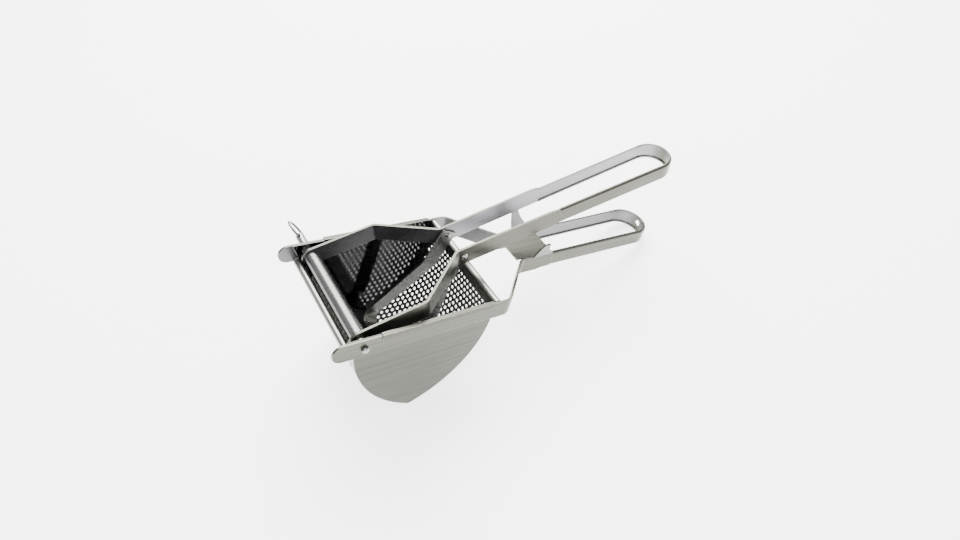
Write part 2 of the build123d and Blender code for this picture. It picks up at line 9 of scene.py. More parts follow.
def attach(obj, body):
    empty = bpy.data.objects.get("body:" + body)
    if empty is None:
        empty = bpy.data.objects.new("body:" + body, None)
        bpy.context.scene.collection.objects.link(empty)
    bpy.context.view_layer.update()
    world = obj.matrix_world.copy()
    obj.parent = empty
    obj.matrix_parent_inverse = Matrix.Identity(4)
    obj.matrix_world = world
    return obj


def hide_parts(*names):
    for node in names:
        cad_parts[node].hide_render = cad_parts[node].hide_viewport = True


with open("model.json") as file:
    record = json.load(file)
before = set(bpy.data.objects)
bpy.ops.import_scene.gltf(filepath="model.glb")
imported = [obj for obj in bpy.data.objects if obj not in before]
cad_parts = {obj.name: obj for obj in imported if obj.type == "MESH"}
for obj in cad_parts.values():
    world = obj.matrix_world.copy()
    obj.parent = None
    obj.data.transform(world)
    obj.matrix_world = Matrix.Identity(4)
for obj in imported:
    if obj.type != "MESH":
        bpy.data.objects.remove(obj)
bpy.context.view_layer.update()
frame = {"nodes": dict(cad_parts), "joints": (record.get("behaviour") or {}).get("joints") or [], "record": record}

# A stainless-steel potato ricer: strap levers, a V-shaped perforated hopper and a pressing plate.
# Sizes are in millimetres in the hopper's own frame, whose X runs from the hinge to the handles
# and whose Z = 0 is the top edge of the lower strap. hopper_point() puts them in the row frame.

MM = 0.001

# ---- sizes of the hopper sheet ----
STRAP_HEIGHT = 14.5
SHEET = 0.8
HALF_INSIDE = 47.2
FRONT_BEND = (-6.2, -14.5)
FRONT_BELLY = (6.3, -53.3)
V_BOTTOM = (44.4, -88.7)
REAR_BELLY = (84.4, -58.4)
REAR_BEND = (99.6, -8.0)
FRONT_LIP_RADIUS = 2.7
FRONT_LIP_TURN = 250.0
REAR_RIM_RADIUS = 2.9
REAR_RIM_TURN = 270.0
V_GAP = 0.6
ARC_STEP = 0.25
ROLL_STEP = 0.15

# ---- perforation ----
HOLE_RADIUS = 1.25
HOLE_PITCH = 4.3
ROW_PITCH = 4.3
HOLE_COLUMNS = 20
FRONT_MARGIN = 12.0
REAR_MARGIN = 4.0
BOTTOM_MARGIN = 7.0
CELL_SIDE = 6
START_STEPS = 8
RIM_STEPS = 56
JOIN_DISTANCE = 0.02
DOUBLES_DISTANCE = 0.004

# ---- edges of the other pieces ----
WELD_DISTANCE = 0.002
FLAT_ANGLE = 0.4
SHARP_ANGLE = 40.0
EDGE_ROUNDING = 0.3

# ---- grain, smudges, rubbed edges with a painted highlight, and painted lighter faces toward the middle plane ----
FINE_LINES = (9.0, 1500.0, 1500.0)
BROAD_BANDS = (5.0, 520.0, 520.0)
SMUDGE_SCALE = 38.0
SMUDGE_LIMITS = (0.42, 0.68)
SCRATCH_SPREAD = (40.0, 700.0, 180.0)
SCRATCH_LIMITS = (0.70, 0.76)
WEAR_HIGHLIGHT_REACH = 0.8
WEAR_HIGHLIGHT_LIMITS = (0.01, 0.16)
WEAR_HIGHLIGHT_SCALE = 260.0
WEAR_HIGHLIGHT_BREAKS = (0.25, 0.6)
# cream edge colour: polish from handling plus a painted highlight along every sharp edge
WORN_EDGE_HIGHLIGHT_COLOUR = (0.72, 0.71, 0.65, 1.0)
# faces toward the middle plane are painted lighter: a painted reflection of the floor
PAINTED_INNER_LIMITS = (0.0, -0.7)
PAINTED_INNER_GRAIN_DIM = 0.85
LINE_SHARE = 0.7
BAND_SHARE = 0.3
TONE_LIMITS = (0.25, 0.75)
SMUDGE_ROUGHNESS = 0.05
SCRATCH_ROUGHNESS = 0.06
WEAR_POLISH = 0.10
LINE_RELIEF = 0.7
SCRATCH_RELIEF = 0.5
RELIEF_DEPTH = 0.02

# ---- the polished inside of the side plates ----
POLISHED_REACH = 0.4
POLISHED_DARK = (0.105, 0.105, 0.11, 1.0)
POLISHED_LIGHT = (0.135, 0.135, 0.14, 1.0)
POLISHED_ROUGHNESS = 0.05
POLISHED_SPREAD = 0.04

# ---- the frame's own places ----
joints = {joint["name"]: joint for joint in frame["joints"]}
mounts = {mount["name"]: mount for mount in frame["record"]["mounts"]}
HINGE = Vector(joints["lever_hinge"]["pos_m"])
LENGTHWISE = Vector(mounts["hang_hole"]["axis"])
ACROSS = Vector((0.0, 1.0, 0.0))
UPWARD = LENGTHWISE.cross(ACROSS)
MIDDLE_Y = HINGE.y


def hopper_point(x, z):
    """Point of the hopper's middle plane, in the row frame."""
    return HINGE + LENGTHWISE * (x * MM) + UPWARD * ((z + STRAP_HEIGHT / 2) * MM)


# ---- node helpers ----
class Nodes:
    """Short calls that add and link the nodes of one tree."""

    def __init__(self, tree):
        self.tree = tree

    def add(self, kind, inputs=None, **settings):
        node = self.tree.nodes.new(kind)
        for name, value in settings.items():
            setattr(node, name, value)
        for key, value in (inputs or {}).items():
            self.feed(node.inputs[key], value)
        return node

    def feed(self, socket, value):
        if isinstance(value, bpy.types.NodeSocket):
            self.tree.links.new(value, socket)
        else:
            socket.default_value = value

    def math(self, operation, *values, clamp=False):
        node = self.add("ShaderNodeMath", operation=operation, use_clamp=clamp)
        for socket, value in zip(node.inputs, values):
            self.feed(socket, value)
        return node.outputs[0]


# ---- perforated sheet ----
def fold(nodes, turn):
    """Coordinate, from -1 to 1, of a point that walks evenly round a square in one turn."""
    swing = nodes.math("ABSOLUTE", nodes.math("SUBTRACT", nodes.math("FRACT", turn), 0.5))
    wave = nodes.math("SUBTRACT", nodes.math("MULTIPLY", swing, 8.0), 2.0)
    return nodes.math("MINIMUM", nodes.math("MAXIMUM", wave, -1.0), 1.0)


def make_sheet_tree():
    """Tree for a sheet with staggered round holes that follows a profile curve."""
    tree = bpy.data.node_groups.new("perforated_sheet", "GeometryNodeTree")
    face = tree.interface
    sockets = {}
    for name, kind in (
        ("Profile", "NodeSocketObject"),
        ("Columns", "NodeSocketInt"),
        ("Rows", "NodeSocketInt"),
        ("Pitch", "NodeSocketFloat"),
        ("Row Pitch", "NodeSocketFloat"),
        ("Hole Radius", "NodeSocketFloat"),
        ("Side Border", "NodeSocketFloat"),
        ("Start Border", "NodeSocketFloat"),
        ("End Border", "NodeSocketFloat"),
        ("Start Steps", "NodeSocketInt"),
        ("End Steps", "NodeSocketInt"),
        ("Middle", "NodeSocketFloat"),
        ("Material", "NodeSocketMaterial"),
    ):
        sockets[name] = face.new_socket(name, in_out="INPUT", socket_type=kind).identifier
    face.new_socket("Geometry", in_out="OUTPUT", socket_type="NodeSocketGeometry")
    n = Nodes(tree)
    given = n.add("NodeGroupInput").outputs
    width = n.math("MULTIPLY", given["Columns"], given["Pitch"])
    height = n.math("MULTIPLY", given["Rows"], given["Row Pitch"])

    # One cell: a round hole in a small rectangle.
    ring = n.add("GeometryNodeMeshCircle", {"Vertices": 4 * CELL_SIDE, "Radius": given["Hole Radius"]})
    grown = n.add("GeometryNodeExtrudeMesh", {"Mesh": ring.outputs[0], "Offset Scale": 0.0}, mode="EDGES")
    spot = n.add("ShaderNodeSeparateXYZ", {0: n.add("GeometryNodeInputPosition").outputs[0]})
    turn = n.math("DIVIDE", n.math("ARCTAN2", spot.outputs[1], spot.outputs[0]), math.tau)
    edge_x = n.math("MULTIPLY", fold(n, turn), n.math("DIVIDE", given["Pitch"], 2.0))
    later = n.math("ADD", turn, 0.75)
    edge_y = n.math("MULTIPLY", fold(n, later), n.math("DIVIDE", given["Row Pitch"], 2.0))
    corner = n.add("ShaderNodeCombineXYZ", {0: edge_x, 1: edge_y})
    cell = n.add(
        "GeometryNodeSetPosition",
        {
            "Geometry": grown.outputs["Mesh"],
            "Selection": grown.outputs["Top"],
            "Position": corner.outputs[0],
        },
    )

    # Points of the pattern: every other row moves half a pitch and has one hole less.
    def pattern(columns, span):
        size_y = n.math("MULTIPLY", n.math("SUBTRACT", given["Rows"], 1.0), given["Row Pitch"])
        grid = n.add(
            "GeometryNodeMeshGrid",
            {"Size X": span, "Size Y": size_y, "Vertices X": columns, "Vertices Y": given["Rows"]},
        )
        place = n.add("ShaderNodeSeparateXYZ", {0: n.add("GeometryNodeInputPosition").outputs[0]})
        along = n.math("ADD", place.outputs[1], n.math("DIVIDE", size_y, 2.0))
        row = n.math("DIVIDE", along, given["Row Pitch"])
        odd = n.math("MODULO", n.math("ROUND", row), 2.0)
        return grid.outputs[0], odd

    points, odd = pattern(given["Columns"], n.math("SUBTRACT", width, given["Pitch"]))
    shift = n.math("MULTIPLY", odd, n.math("DIVIDE", given["Pitch"], 2.0))
    moved = n.add("ShaderNodeCombineXYZ", {0: shift})
    points = n.add("GeometryNodeSetPosition", {"Geometry": points, "Offset": moved.outputs[0]}).outputs[0]
    beyond = n.add("ShaderNodeSeparateXYZ", {0: n.add("GeometryNodeInputPosition").outputs[0]}).outputs[0]
    limit = n.math("SUBTRACT", n.math("DIVIDE", width, 2.0), n.math("DIVIDE", given["Pitch"], 4.0))
    extra = n.math("GREATER_THAN", beyond, limit)
    points = n.add("GeometryNodeDeleteGeometry", {"Geometry": points, "Selection": extra}).outputs[0]
    holes = n.add("GeometryNodeInstanceOnPoints", {"Points": points, "Instance": cell.outputs[0]})

    # Plain half cells close the ends of the shorter rows.
    half = n.math("DIVIDE", given["Pitch"], 2.0)
    ends, odd = pattern(2, n.math("SUBTRACT", width, half))
    even = n.math("SUBTRACT", 1.0, odd)
    ends = n.add("GeometryNodeDeleteGeometry", {"Geometry": ends, "Selection": even}).outputs[0]
    plain = n.add(
        "GeometryNodeMeshGrid",
        {
            "Size X": half,
            "Size Y": given["Row Pitch"],
            "Vertices X": CELL_SIDE // 2 + 1,
            "Vertices Y": CELL_SIDE + 1,
        },
    )
    blanks = n.add("GeometryNodeInstanceOnPoints", {"Points": ends, "Instance": plain.outputs[0]})

    # Plain borders, with the steps of the cells that they meet.
    across_steps = n.math("ADD", n.math("MULTIPLY", given["Columns"], float(CELL_SIDE)), 1.0)
    down_steps = n.math("ADD", n.math("MULTIPLY", given["Rows"], float(CELL_SIDE)), 1.0)
    parts = [holes.outputs[0], blanks.outputs[0]]
    side_x = n.math("ADD", n.math("DIVIDE", width, 2.0), n.math("DIVIDE", given["Side Border"], 2.0))
    bands = [(0.0, height, down_steps, 0.0)]
    for sign, length, steps in (
        (-1.0, given["Start Border"], given["Start Steps"]),
        (1.0, given["End Border"], given["End Steps"]),
    ):
        reach = n.math("ADD", n.math("DIVIDE", height, 2.0), n.math("DIVIDE", length, 2.0))
        bands.append((n.math("MULTIPLY", reach, sign), length, n.math("ADD", steps, 1.0), sign))
    for y, length, steps, sign in bands:
        columns = [(n.math("MULTIPLY", side_x, side), given["Side Border"], 2) for side in (-1.0, 1.0)]
        if sign:
            columns.append((0.0, width, across_steps))
        for x, span, count in columns:
            grid = n.add(
                "GeometryNodeMeshGrid",
                {"Size X": span, "Size Y": length, "Vertices X": count, "Vertices Y": steps},
            )
            at = n.add("ShaderNodeCombineXYZ", {0: x, 1: y})
            moved = n.add(
                "GeometryNodeTransform", {"Geometry": grid.outputs[0], "Translation": at.outputs[0]}
            )
            parts.append(moved.outputs[0])
    joined = n.add("GeometryNodeJoinGeometry")
    for part in parts:
        tree.links.new(part, joined.inputs[0])
    real = n.add("GeometryNodeRealizeInstances", {"Geometry": joined.outputs[0]})
    merged = n.add(
        "GeometryNodeMergeByDistance", {"Geometry": real.outputs[0], "Distance": JOIN_DISTANCE * MM}
    )

    # The flat sheet is wrapped along the profile.
    flat = n.add("ShaderNodeSeparateXYZ", {0: n.add("GeometryNodeInputPosition").outputs[0]})
    start = n.math("ADD", n.math("DIVIDE", height, 2.0), given["Start Border"])
    run = n.math("ADD", flat.outputs[1], start)
    profile = n.add("GeometryNodeObjectInfo", {"Object": given["Profile"]}, transform_space="ORIGINAL")
    follow = n.add(
        "GeometryNodeSampleCurve", {"Curves": profile.outputs["Geometry"], "Length": run}, mode="LENGTH"
    )
    spot = n.add("ShaderNodeSeparateXYZ", {0: follow.outputs["Position"]})
    y = n.math("ADD", given["Middle"], flat.outputs[0])
    wrapped = n.add("ShaderNodeCombineXYZ", {0: spot.outputs[0], 1: y, 2: spot.outputs[2]})
    bent = n.add("GeometryNodeSetPosition", {"Geometry": merged.outputs[0], "Position": wrapped.outputs[0]})
    real = n.add("GeometryNodeRealizeInstances", {"Geometry": bent.outputs[0]})
    made = n.add("GeometryNodeSetMaterial", {"Geometry": real.outputs[0], "Material": given["Material"]})
    n.add("NodeGroupOutput", {"Geometry": made.outputs[0]})
    return tree, sockets


def circle_through(a, b, c):
    """Centre and radius of the circle through three points."""
    (ax, ay), (bx, by), (cx, cy) = a, b, c
    d = 2 * (ax * (by - cy) + bx * (cy - ay) + cx * (ay - by))
    sa, sb, sc = (p[0] ** 2 + p[1] ** 2 for p in (a, b, c))
    x = (sa * (by - cy) + sb * (cy - ay) + sc * (ay - by)) / d
    y = (sa * (cx - bx) + sb * (ax - cx) + sc * (bx - ax)) / d
    return (x, y), math.hypot(ax - x, ay - y)


def arc_points(centre, radius, first, last, step=ARC_STEP):
    """Points along an arc, in millimetres, from one angle to another in radians."""
    count = max(2, int(abs(last - first) * radius / step))
    angles = [first + (last - first) * i / count for i in range(count + 1)]
    return [(centre[0] + radius * math.cos(a), centre[1] + radius * math.sin(a)) for a in angles]


def wall_profile(bend, belly, rim_z, roll_radius, turn, side):
    """Middle line of a wall from the V up its belly, its straight top and its rolled rim."""
    centre, radius = circle_through(bend, belly, V_BOTTOM)
    radius -= SHEET / 2
    first = math.atan2(V_BOTTOM[1] - centre[1], V_BOTTOM[0] - centre[0])
    first += side * V_GAP / radius
    last = math.atan2(bend[1] - centre[1], bend[0] - centre[0])
    if side < 0:
        first, last = first % math.tau, last % math.tau
    line = arc_points(centre, radius, first, last)
    middle = roll_radius - SHEET / 2
    roll = (bend[0] - side * SHEET / 2 + side * middle, rim_z)
    start = math.pi if side > 0 else 0.0
    line += arc_points(roll, middle, start, start - side * math.radians(turn), ROLL_STEP)
    return line


def polyline_curve(name, points):
    """Curve object along points of the hopper's middle plane."""
    curve = bpy.data.curves.new(name, "CURVE")
    curve.dimensions = "3D"
    spline = curve.splines.new("POLY")
    spline.points.add(len(points) - 1)
    for slot, (x, z) in zip(spline.points, points):
        slot.co = (*hopper_point(x, z), 1.0)
    guide = bpy.data.objects.new(name, curve)
    bpy.context.scene.collection.objects.link(guide)
    return guide


def length_of(points):
    """Length of a line of points."""
    return sum(math.dist(a, b) for a, b in zip(points, points[1:]))


def evaluated_mesh(source, name):
    """Plain mesh of an object with its modifiers."""
    graph = bpy.context.evaluated_depsgraph_get()
    mesh = bpy.data.meshes.new_from_object(source.evaluated_get(graph), depsgraph=graph)
    mesh.name = name
    return mesh


def settle_normals(mesh):
    """Merges doubles and turns every face outward."""
    work = bmesh.new()
    work.from_mesh(mesh)
    bmesh.ops.remove_doubles(work, verts=work.verts, dist=DOUBLES_DISTANCE * MM)
    bmesh.ops.recalc_face_normals(work, faces=work.faces)
    work.to_mesh(mesh)
    work.free()


def shade_by_angle(mesh, limit):
    """Smooth faces with sharp edges past an angle in degrees."""
    mesh.polygons.foreach_set("use_smooth", [True] * len(mesh.polygons))
    mesh.set_sharp_from_angle(angle=math.radians(limit))


def belly_length(bend, belly):
    """Length of a wall's arc from its bend down to the V."""
    _, radius = circle_through(bend, belly, V_BOTTOM)
    return 2 * radius * math.asin(math.dist(bend, V_BOTTOM) / 2 / radius)


def perforated_wall(name, node, line, arc, margin, tree, sockets, materials):
    """One wall of the hopper as a thick sheet of holes."""
    total = length_of(line)
    rows = int((arc - margin - BOTTOM_MARGIN) / ROW_PITCH) + 1
    border = arc - V_GAP - margin - (rows - 0.5) * ROW_PITCH
    guide = polyline_curve(name + "_profile", line)
    shell = bpy.data.objects.new(name, bpy.data.meshes.new(name))
    bpy.context.scene.collection.objects.link(shell)
    modifier = shell.modifiers.new("sheet", "NODES")
    modifier.node_group = tree
    field = rows * ROW_PITCH
    values = {
        "Profile": guide,
        "Columns": HOLE_COLUMNS,
        "Rows": rows,
        "Pitch": HOLE_PITCH * MM,
        "Row Pitch": ROW_PITCH * MM,
        "Hole Radius": HOLE_RADIUS * MM,
        "Side Border": (HALF_INSIDE - HOLE_COLUMNS * HOLE_PITCH / 2) * MM,
        "Start Border": border * MM,
        "End Border": (total - field - border) * MM,
        "Start Steps": START_STEPS,
        "End Steps": RIM_STEPS,
        "Middle": MIDDLE_Y,
        "Material": materials[0],
    }
    for key, value in values.items():
        modifier[sockets[key]] = value
    mesh = evaluated_mesh(shell, name + "_flat")
    settle_normals(mesh)
    shell.modifiers.remove(modifier)
    shell.data = mesh
    for material in materials[len(mesh.materials):]:
        mesh.materials.append(material)
    thick = shell.modifiers.new("thickness", "SOLIDIFY")
    thick.thickness = SHEET * MM
    thick.offset = 0.0
    # the faces that Solidify adds take the second material, whose near-black colour is painted shade
    thick.material_offset = 1
    thick.use_quality_normals = True
    shell.data = evaluated_mesh(shell, name)
    shell.modifiers.remove(thick)
    shade_by_angle(shell.data, SHARP_ANGLE)
    bpy.data.objects.remove(guide)
    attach(shell, "frame")
    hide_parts(node)


# ---- finishes ----
def new_group(name, given, made):
    """Empty shader group with its named inputs and outputs."""
    tree = bpy.data.node_groups.new(name, "ShaderNodeTree")
    for label, kind, value in given:
        socket = tree.interface.new_socket(label, in_out="INPUT", socket_type=kind)
        if value is not None:
            socket.default_value = value
    for label, kind in made:
        tree.interface.new_socket(label, in_out="OUTPUT", socket_type=kind)
    n = Nodes(tree)
    return tree, n, n.add("NodeGroupInput").outputs


def blend_value(n, factor, low, high):
    """Mix of two numbers."""
    return n.add("ShaderNodeMix", {0: factor, 2: low, 3: high}, data_type="FLOAT").outputs[0]


def blend_colour(n, factor, low, high):
    """Mix of two colours."""
    return n.add("ShaderNodeMix", {0: factor, 6: low, 7: high}, data_type="RGBA").outputs[2]


def smooth_step(n, value, low, high):
    """Value mapped to 0 to 1 between two limits, with soft ends."""
    node = n.add("ShaderNodeMapRange", {0: value, 1: low, 2: high}, interpolation_type="SMOOTHSTEP")
    return node.outputs[0]


def make_brushed_lines():
    """Fine lines from the sanding belt, along one direction, as a mask and a height."""
    tree, n, given = new_group(
        "brushed_lines",
        [("Vector", "NodeSocketVector", None), ("Along", "NodeSocketVector", None)],
        [("Lines", "NodeSocketFloat"), ("Bands", "NodeSocketFloat")],
    )
    over = n.add("ShaderNodeVectorMath", {0: given[1], 1: ACROSS}, operation="CROSS_PRODUCT")
    length = n.add("ShaderNodeVectorMath", {0: given[0], 1: given[1]}, operation="DOT_PRODUCT")
    height = n.add("ShaderNodeVectorMath", {0: given[0], 1: over.outputs[0]}, operation="DOT_PRODUCT")
    side = n.add("ShaderNodeSeparateXYZ", {0: given[0]})
    turned = n.add(
        "ShaderNodeCombineXYZ", {0: length.outputs["Value"], 1: side.outputs[1], 2: height.outputs["Value"]}
    )
    layers = []
    for squeeze, detail in ((FINE_LINES, 3.0), (BROAD_BANDS, 2.0)):
        spread = n.add("ShaderNodeVectorMath", {0: turned.outputs[0], 1: squeeze}, operation="MULTIPLY")
        noise = n.add("ShaderNodeTexNoise", {"Vector": spread.outputs[0], "Scale": 1.0, "Detail": detail})
        layers.append(noise.outputs[0])
    n.add("NodeGroupOutput", {0: layers[0], 1: layers[1]})
    return tree


def make_handling():
    """Broad smudges from handling and washing."""
    tree, n, given = new_group(
        "handling_marks",
        [("Vector", "NodeSocketVector", None)],
        [("Smudges", "NodeSocketFloat"), ("Scratches", "NodeSocketFloat")],
    )
    cloud = n.add(
        "ShaderNodeTexNoise", {"Vector": given[0], "Scale": SMUDGE_SCALE, "Detail": 4.0, "Distortion": 0.6}
    )
    smudges = smooth_step(n, cloud.outputs[0], *SMUDGE_LIMITS)
    stretched = n.add("ShaderNodeVectorMath", {0: given[0], 1: SCRATCH_SPREAD}, operation="MULTIPLY")
    hairs = n.add("ShaderNodeTexNoise", {"Vector": stretched.outputs[0], "Scale": 1.0, "Detail": 1.0})
    scratches = smooth_step(n, hairs.outputs[0], *SCRATCH_LIMITS)
    n.add("NodeGroupOutput", {0: smudges, 1: scratches})
    return tree


def make_edge_wear_highlight():
    """Mask of the edges that handling has polished; the same mask also paints a cream highlight along them."""
    tree, n, given = new_group(
        "edge_wear_highlight",
        [("Vector", "NodeSocketVector", None), ("Reach", "NodeSocketFloat", WEAR_HIGHLIGHT_REACH * MM)],
        [("Wear_Highlight", "NodeSocketFloat")],
    )
    rounded = n.add("ShaderNodeBevel", {"Radius": given[1]}, samples=4)
    flat = n.add("ShaderNodeNewGeometry")
    turned = n.add(
        "ShaderNodeVectorMath", {0: rounded.outputs[0], 1: flat.outputs["Normal"]}, operation="DOT_PRODUCT"
    )
    edge = smooth_step(n, n.math("SUBTRACT", 1.0, turned.outputs["Value"]), *WEAR_HIGHLIGHT_LIMITS)
    broken = n.add("ShaderNodeTexNoise", {"Vector": given[0], "Scale": WEAR_HIGHLIGHT_SCALE, "Detail": 2.0})
    n.add("NodeGroupOutput", {0: n.math("MULTIPLY", edge, smooth_step(n, broken.outputs[0], *WEAR_HIGHLIGHT_BREAKS))})
    return tree


BRUSHED_LINES = make_brushed_lines()
HANDLING = make_handling()
EDGE_WEAR_HIGHLIGHT = make_edge_wear_highlight()


def group(n, tree, inputs):
    """A shader group placed in a material."""
    node = n.add("ShaderNodeGroup", node_tree=tree)
    for key, value in inputs.items():
        n.feed(node.inputs[key], value)
    return node.outputs


def painted_inner_mask(n, spot):
    """Mask of the faces that look at the middle plane, where a lighter colour is painted as a painted reflection
    of the floor.
    """
    side = n.math("SUBTRACT", n.add("ShaderNodeSeparateXYZ", {0: spot}).outputs[1], MIDDLE_Y)
    facing = n.add("ShaderNodeSeparateXYZ", {0: n.add("ShaderNodeNewGeometry").outputs["Normal"]}).outputs[1]
    return smooth_step(n, n.math("MULTIPLY", n.math("SIGN", side), facing), *PAINTED_INNER_LIMITS)


def make_finish(name, dark, light, roughness, grain, bump, wear_highlight=0.6, along=LENGTHWISE, painted_inner_light=None):
    """Brushed stainless steel: colour, gloss and relief from its grain, smudges and rubbed edges. The rubbed edges
    are also painted a cream highlight, and faces toward the middle plane can be painted lighter as a painted
    reflection of the floor.
    """
    material = bpy.data.materials.new(name)
    material.use_nodes = True
    n = Nodes(material.node_tree)
    shader = material.node_tree.nodes["Principled BSDF"]
    shader.inputs["Metallic"].default_value = 1.0
    spot = n.add("ShaderNodeTexCoord").outputs["Object"]
    lines, bands = group(n, BRUSHED_LINES, {"Vector": spot, "Along": along})
    smudges, scratches = group(n, HANDLING, {"Vector": spot})
    (worn_highlight,) = group(n, EDGE_WEAR_HIGHLIGHT, {"Vector": spot})
    tone = n.math("ADD", n.math("MULTIPLY", lines, LINE_SHARE), n.math("MULTIPLY", bands, BAND_SHARE))
    tone = smooth_step(n, tone, *TONE_LIMITS)
    colour = blend_colour(n, tone, (*dark, 1.0), (*light, 1.0))
    # faces toward the middle plane get a lighter, bluish colour: a painted reflection of the floor
    if painted_inner_light:
        painted_inner_dim = tuple(PAINTED_INNER_GRAIN_DIM * part for part in painted_inner_light)
        pale = blend_colour(n, tone, (*painted_inner_dim, 1.0), (*painted_inner_light, 1.0))
        colour = blend_colour(n, painted_inner_mask(n, spot), colour, pale)
    # rubbed edges blend toward cream: partly polish from handling, partly a painted highlight
    colour = blend_colour(n, n.math("MULTIPLY", worn_highlight, wear_highlight), colour, WORN_EDGE_HIGHLIGHT_COLOUR)
    n.feed(shader.inputs["Base Color"], colour)
    rough = n.math("ADD", roughness - grain / 2, n.math("MULTIPLY", lines, grain))
    rough = n.math("ADD", rough, n.math("MULTIPLY", smudges, SMUDGE_ROUGHNESS))
    rough = n.math("SUBTRACT", rough, n.math("MULTIPLY", worn_highlight, WEAR_POLISH))
    rough = n.math("ADD", rough, n.math("MULTIPLY", scratches, SCRATCH_ROUGHNESS), clamp=True)
    n.feed(shader.inputs["Roughness"], rough)
    raised = n.math("MULTIPLY", lines, LINE_RELIEF)
    height = n.math("SUBTRACT", raised, n.math("MULTIPLY", scratches, SCRATCH_RELIEF))
    relief = n.add("ShaderNodeBump", {"Strength": bump, "Distance": RELIEF_DEPTH * MM, "Height": height})
    n.feed(shader.inputs["Normal"], relief.outputs[0])
    return material


def make_plate_finish(name):
    """Side plate: satin outside the hopper and mirror-polished inside it."""
    material = make_finish(
        name,
        dark=(0.056, 0.056, 0.048),
        light=(0.092, 0.092, 0.080),
        roughness=0.32,
        grain=0.18,
        bump=0.6,
        wear_highlight=0.25,
    )
    n = Nodes(material.node_tree)
    shader = material.node_tree.nodes["Principled BSDF"]
    spot = n.add("ShaderNodeTexCoord").outputs["Object"]
    across = n.add("ShaderNodeSeparateXYZ", {0: spot}).outputs[1]
    aside = n.math("ABSOLUTE", n.math("SUBTRACT", across, MIDDLE_Y))
    inside = n.math("LESS_THAN", aside, (HALF_INSIDE + POLISHED_REACH) * MM)
    lines, _ = group(n, BRUSHED_LINES, {"Vector": spot, "Along": LENGTHWISE})
    smudges, _ = group(n, HANDLING, {"Vector": spot})
    outer = shader.inputs["Base Color"].links[0].from_socket
    deep = blend_colour(n, lines, POLISHED_DARK, POLISHED_LIGHT)
    n.feed(shader.inputs["Base Color"], blend_colour(n, inside, outer, deep))
    outer = shader.inputs["Roughness"].links[0].from_socket
    marks = n.math("MULTIPLY", smudges, POLISHED_SPREAD)
    gloss = n.math("ADD", marks, n.math("MULTIPLY", lines, POLISHED_SPREAD))
    polished = n.math("ADD", gloss, POLISHED_ROUGHNESS)
    n.feed(shader.inputs["Roughness"], blend_value(n, inside, outer, polished))
    return material


LEVER_LIFT = math.radians(14.6)
LEVER_ALONG = LENGTHWISE * math.cos(LEVER_LIFT) + UPWARD * math.sin(LEVER_LIFT)
STRAP = make_finish(
    "lower_strap_steel",
    dark=(0.070, 0.070, 0.060),
    light=(0.108, 0.108, 0.093),
    roughness=0.30,
    grain=0.16,
    bump=0.5,
    wear_highlight=0.30,
    along=LENGTHWISE,
    # lighter colour of the faces toward the middle plane: painted reflection of the floor
    painted_inner_light=(0.17, 0.17, 0.178),
)
LEVER = make_finish(
    "upper_strap_steel",
    dark=(0.062, 0.062, 0.052),
    light=(0.098, 0.098, 0.083),
    roughness=0.30,
    grain=0.16,
    bump=0.5,
    wear_highlight=0.30,
    along=LEVER_ALONG,
    # lighter colour of the faces toward the middle plane: painted reflection of the floor
    painted_inner_light=(0.23, 0.23, 0.245),
)
PLATE = make_plate_finish("hopper_plate_steel")
SHEET_OUT = make_finish(
    "hopper_sheet_steel",
    dark=(0.20, 0.20, 0.185),
    light=(0.30, 0.30, 0.275),
    roughness=0.30,
    grain=0.16,
    bump=0.4,
)
# inside of the hopper walls: the near-black colour is painted shade of the hopper's interior, not a darker steel
HOPPER_INSIDE_PAINTED_SHADE = make_finish(
    "hopper_inner_painted_shade",
    dark=(0.030, 0.030, 0.032),
    light=(0.052, 0.052, 0.055),
    roughness=0.22,
    grain=0.08,
    bump=0.2,
    wear_highlight=0.1,
)
PRESS = make_finish(
    "press_plate_steel",
    dark=(0.125, 0.127, 0.125),
    light=(0.165, 0.167, 0.165),
    roughness=0.25,
    grain=0.10,
    bump=0.3,
    wear_highlight=0.3,
)
BRACE = make_finish(
    "brace_steel",
    dark=(0.17, 0.17, 0.165),
    light=(0.26, 0.26, 0.255),
    roughness=0.28,
    grain=0.16,
    bump=0.6,
)
BRIGHT = make_finish(
    "turned_pin_steel",
    dark=(0.20, 0.20, 0.20),
    light=(0.34, 0.34, 0.34),
    roughness=0.20,
    grain=0.10,
    bump=0.4,
)
WIRE = make_finish(
    "ring_wire_steel",
    dark=(0.10, 0.10, 0.105),
    light=(0.22, 0.22, 0.23),
    roughness=0.20,
    grain=0.10,
    bump=0.3,
)


# ---- CAD nodes ----
def soften(node, width, materials):
    """Joins a node's loose triangles, rounds its edges a little and smooths its curves."""
    piece = frame["nodes"][node]
    weld = piece.modifiers.new("weld", "WELD")
    weld.merge_threshold = WELD_DISTANCE * MM
    flat = piece.modifiers.new("flats", "DECIMATE")
    flat.decimate_type = "DISSOLVE"
    flat.angle_limit = math.radians(FLAT_ANGLE)
    bevel = piece.modifiers.new("edges", "BEVEL")
    bevel.width = width * MM
    bevel.segments = 2
    bevel.limit_method = "ANGLE"
    bevel.angle_limit = math.radians(SHARP_ANGLE)
    bevel.use_clamp_overlap = False
    bevel.harden_normals = False
    piece.data.polygons.foreach_set("use_smooth", [True] * len(piece.data.polygons))
    weigh = piece.modifiers.new("normals", "WEIGHTED_NORMAL")
    weigh.keep_sharp = True
    piece.data.materials.clear()
    for material in materials:
        piece.data.materials.append(material)


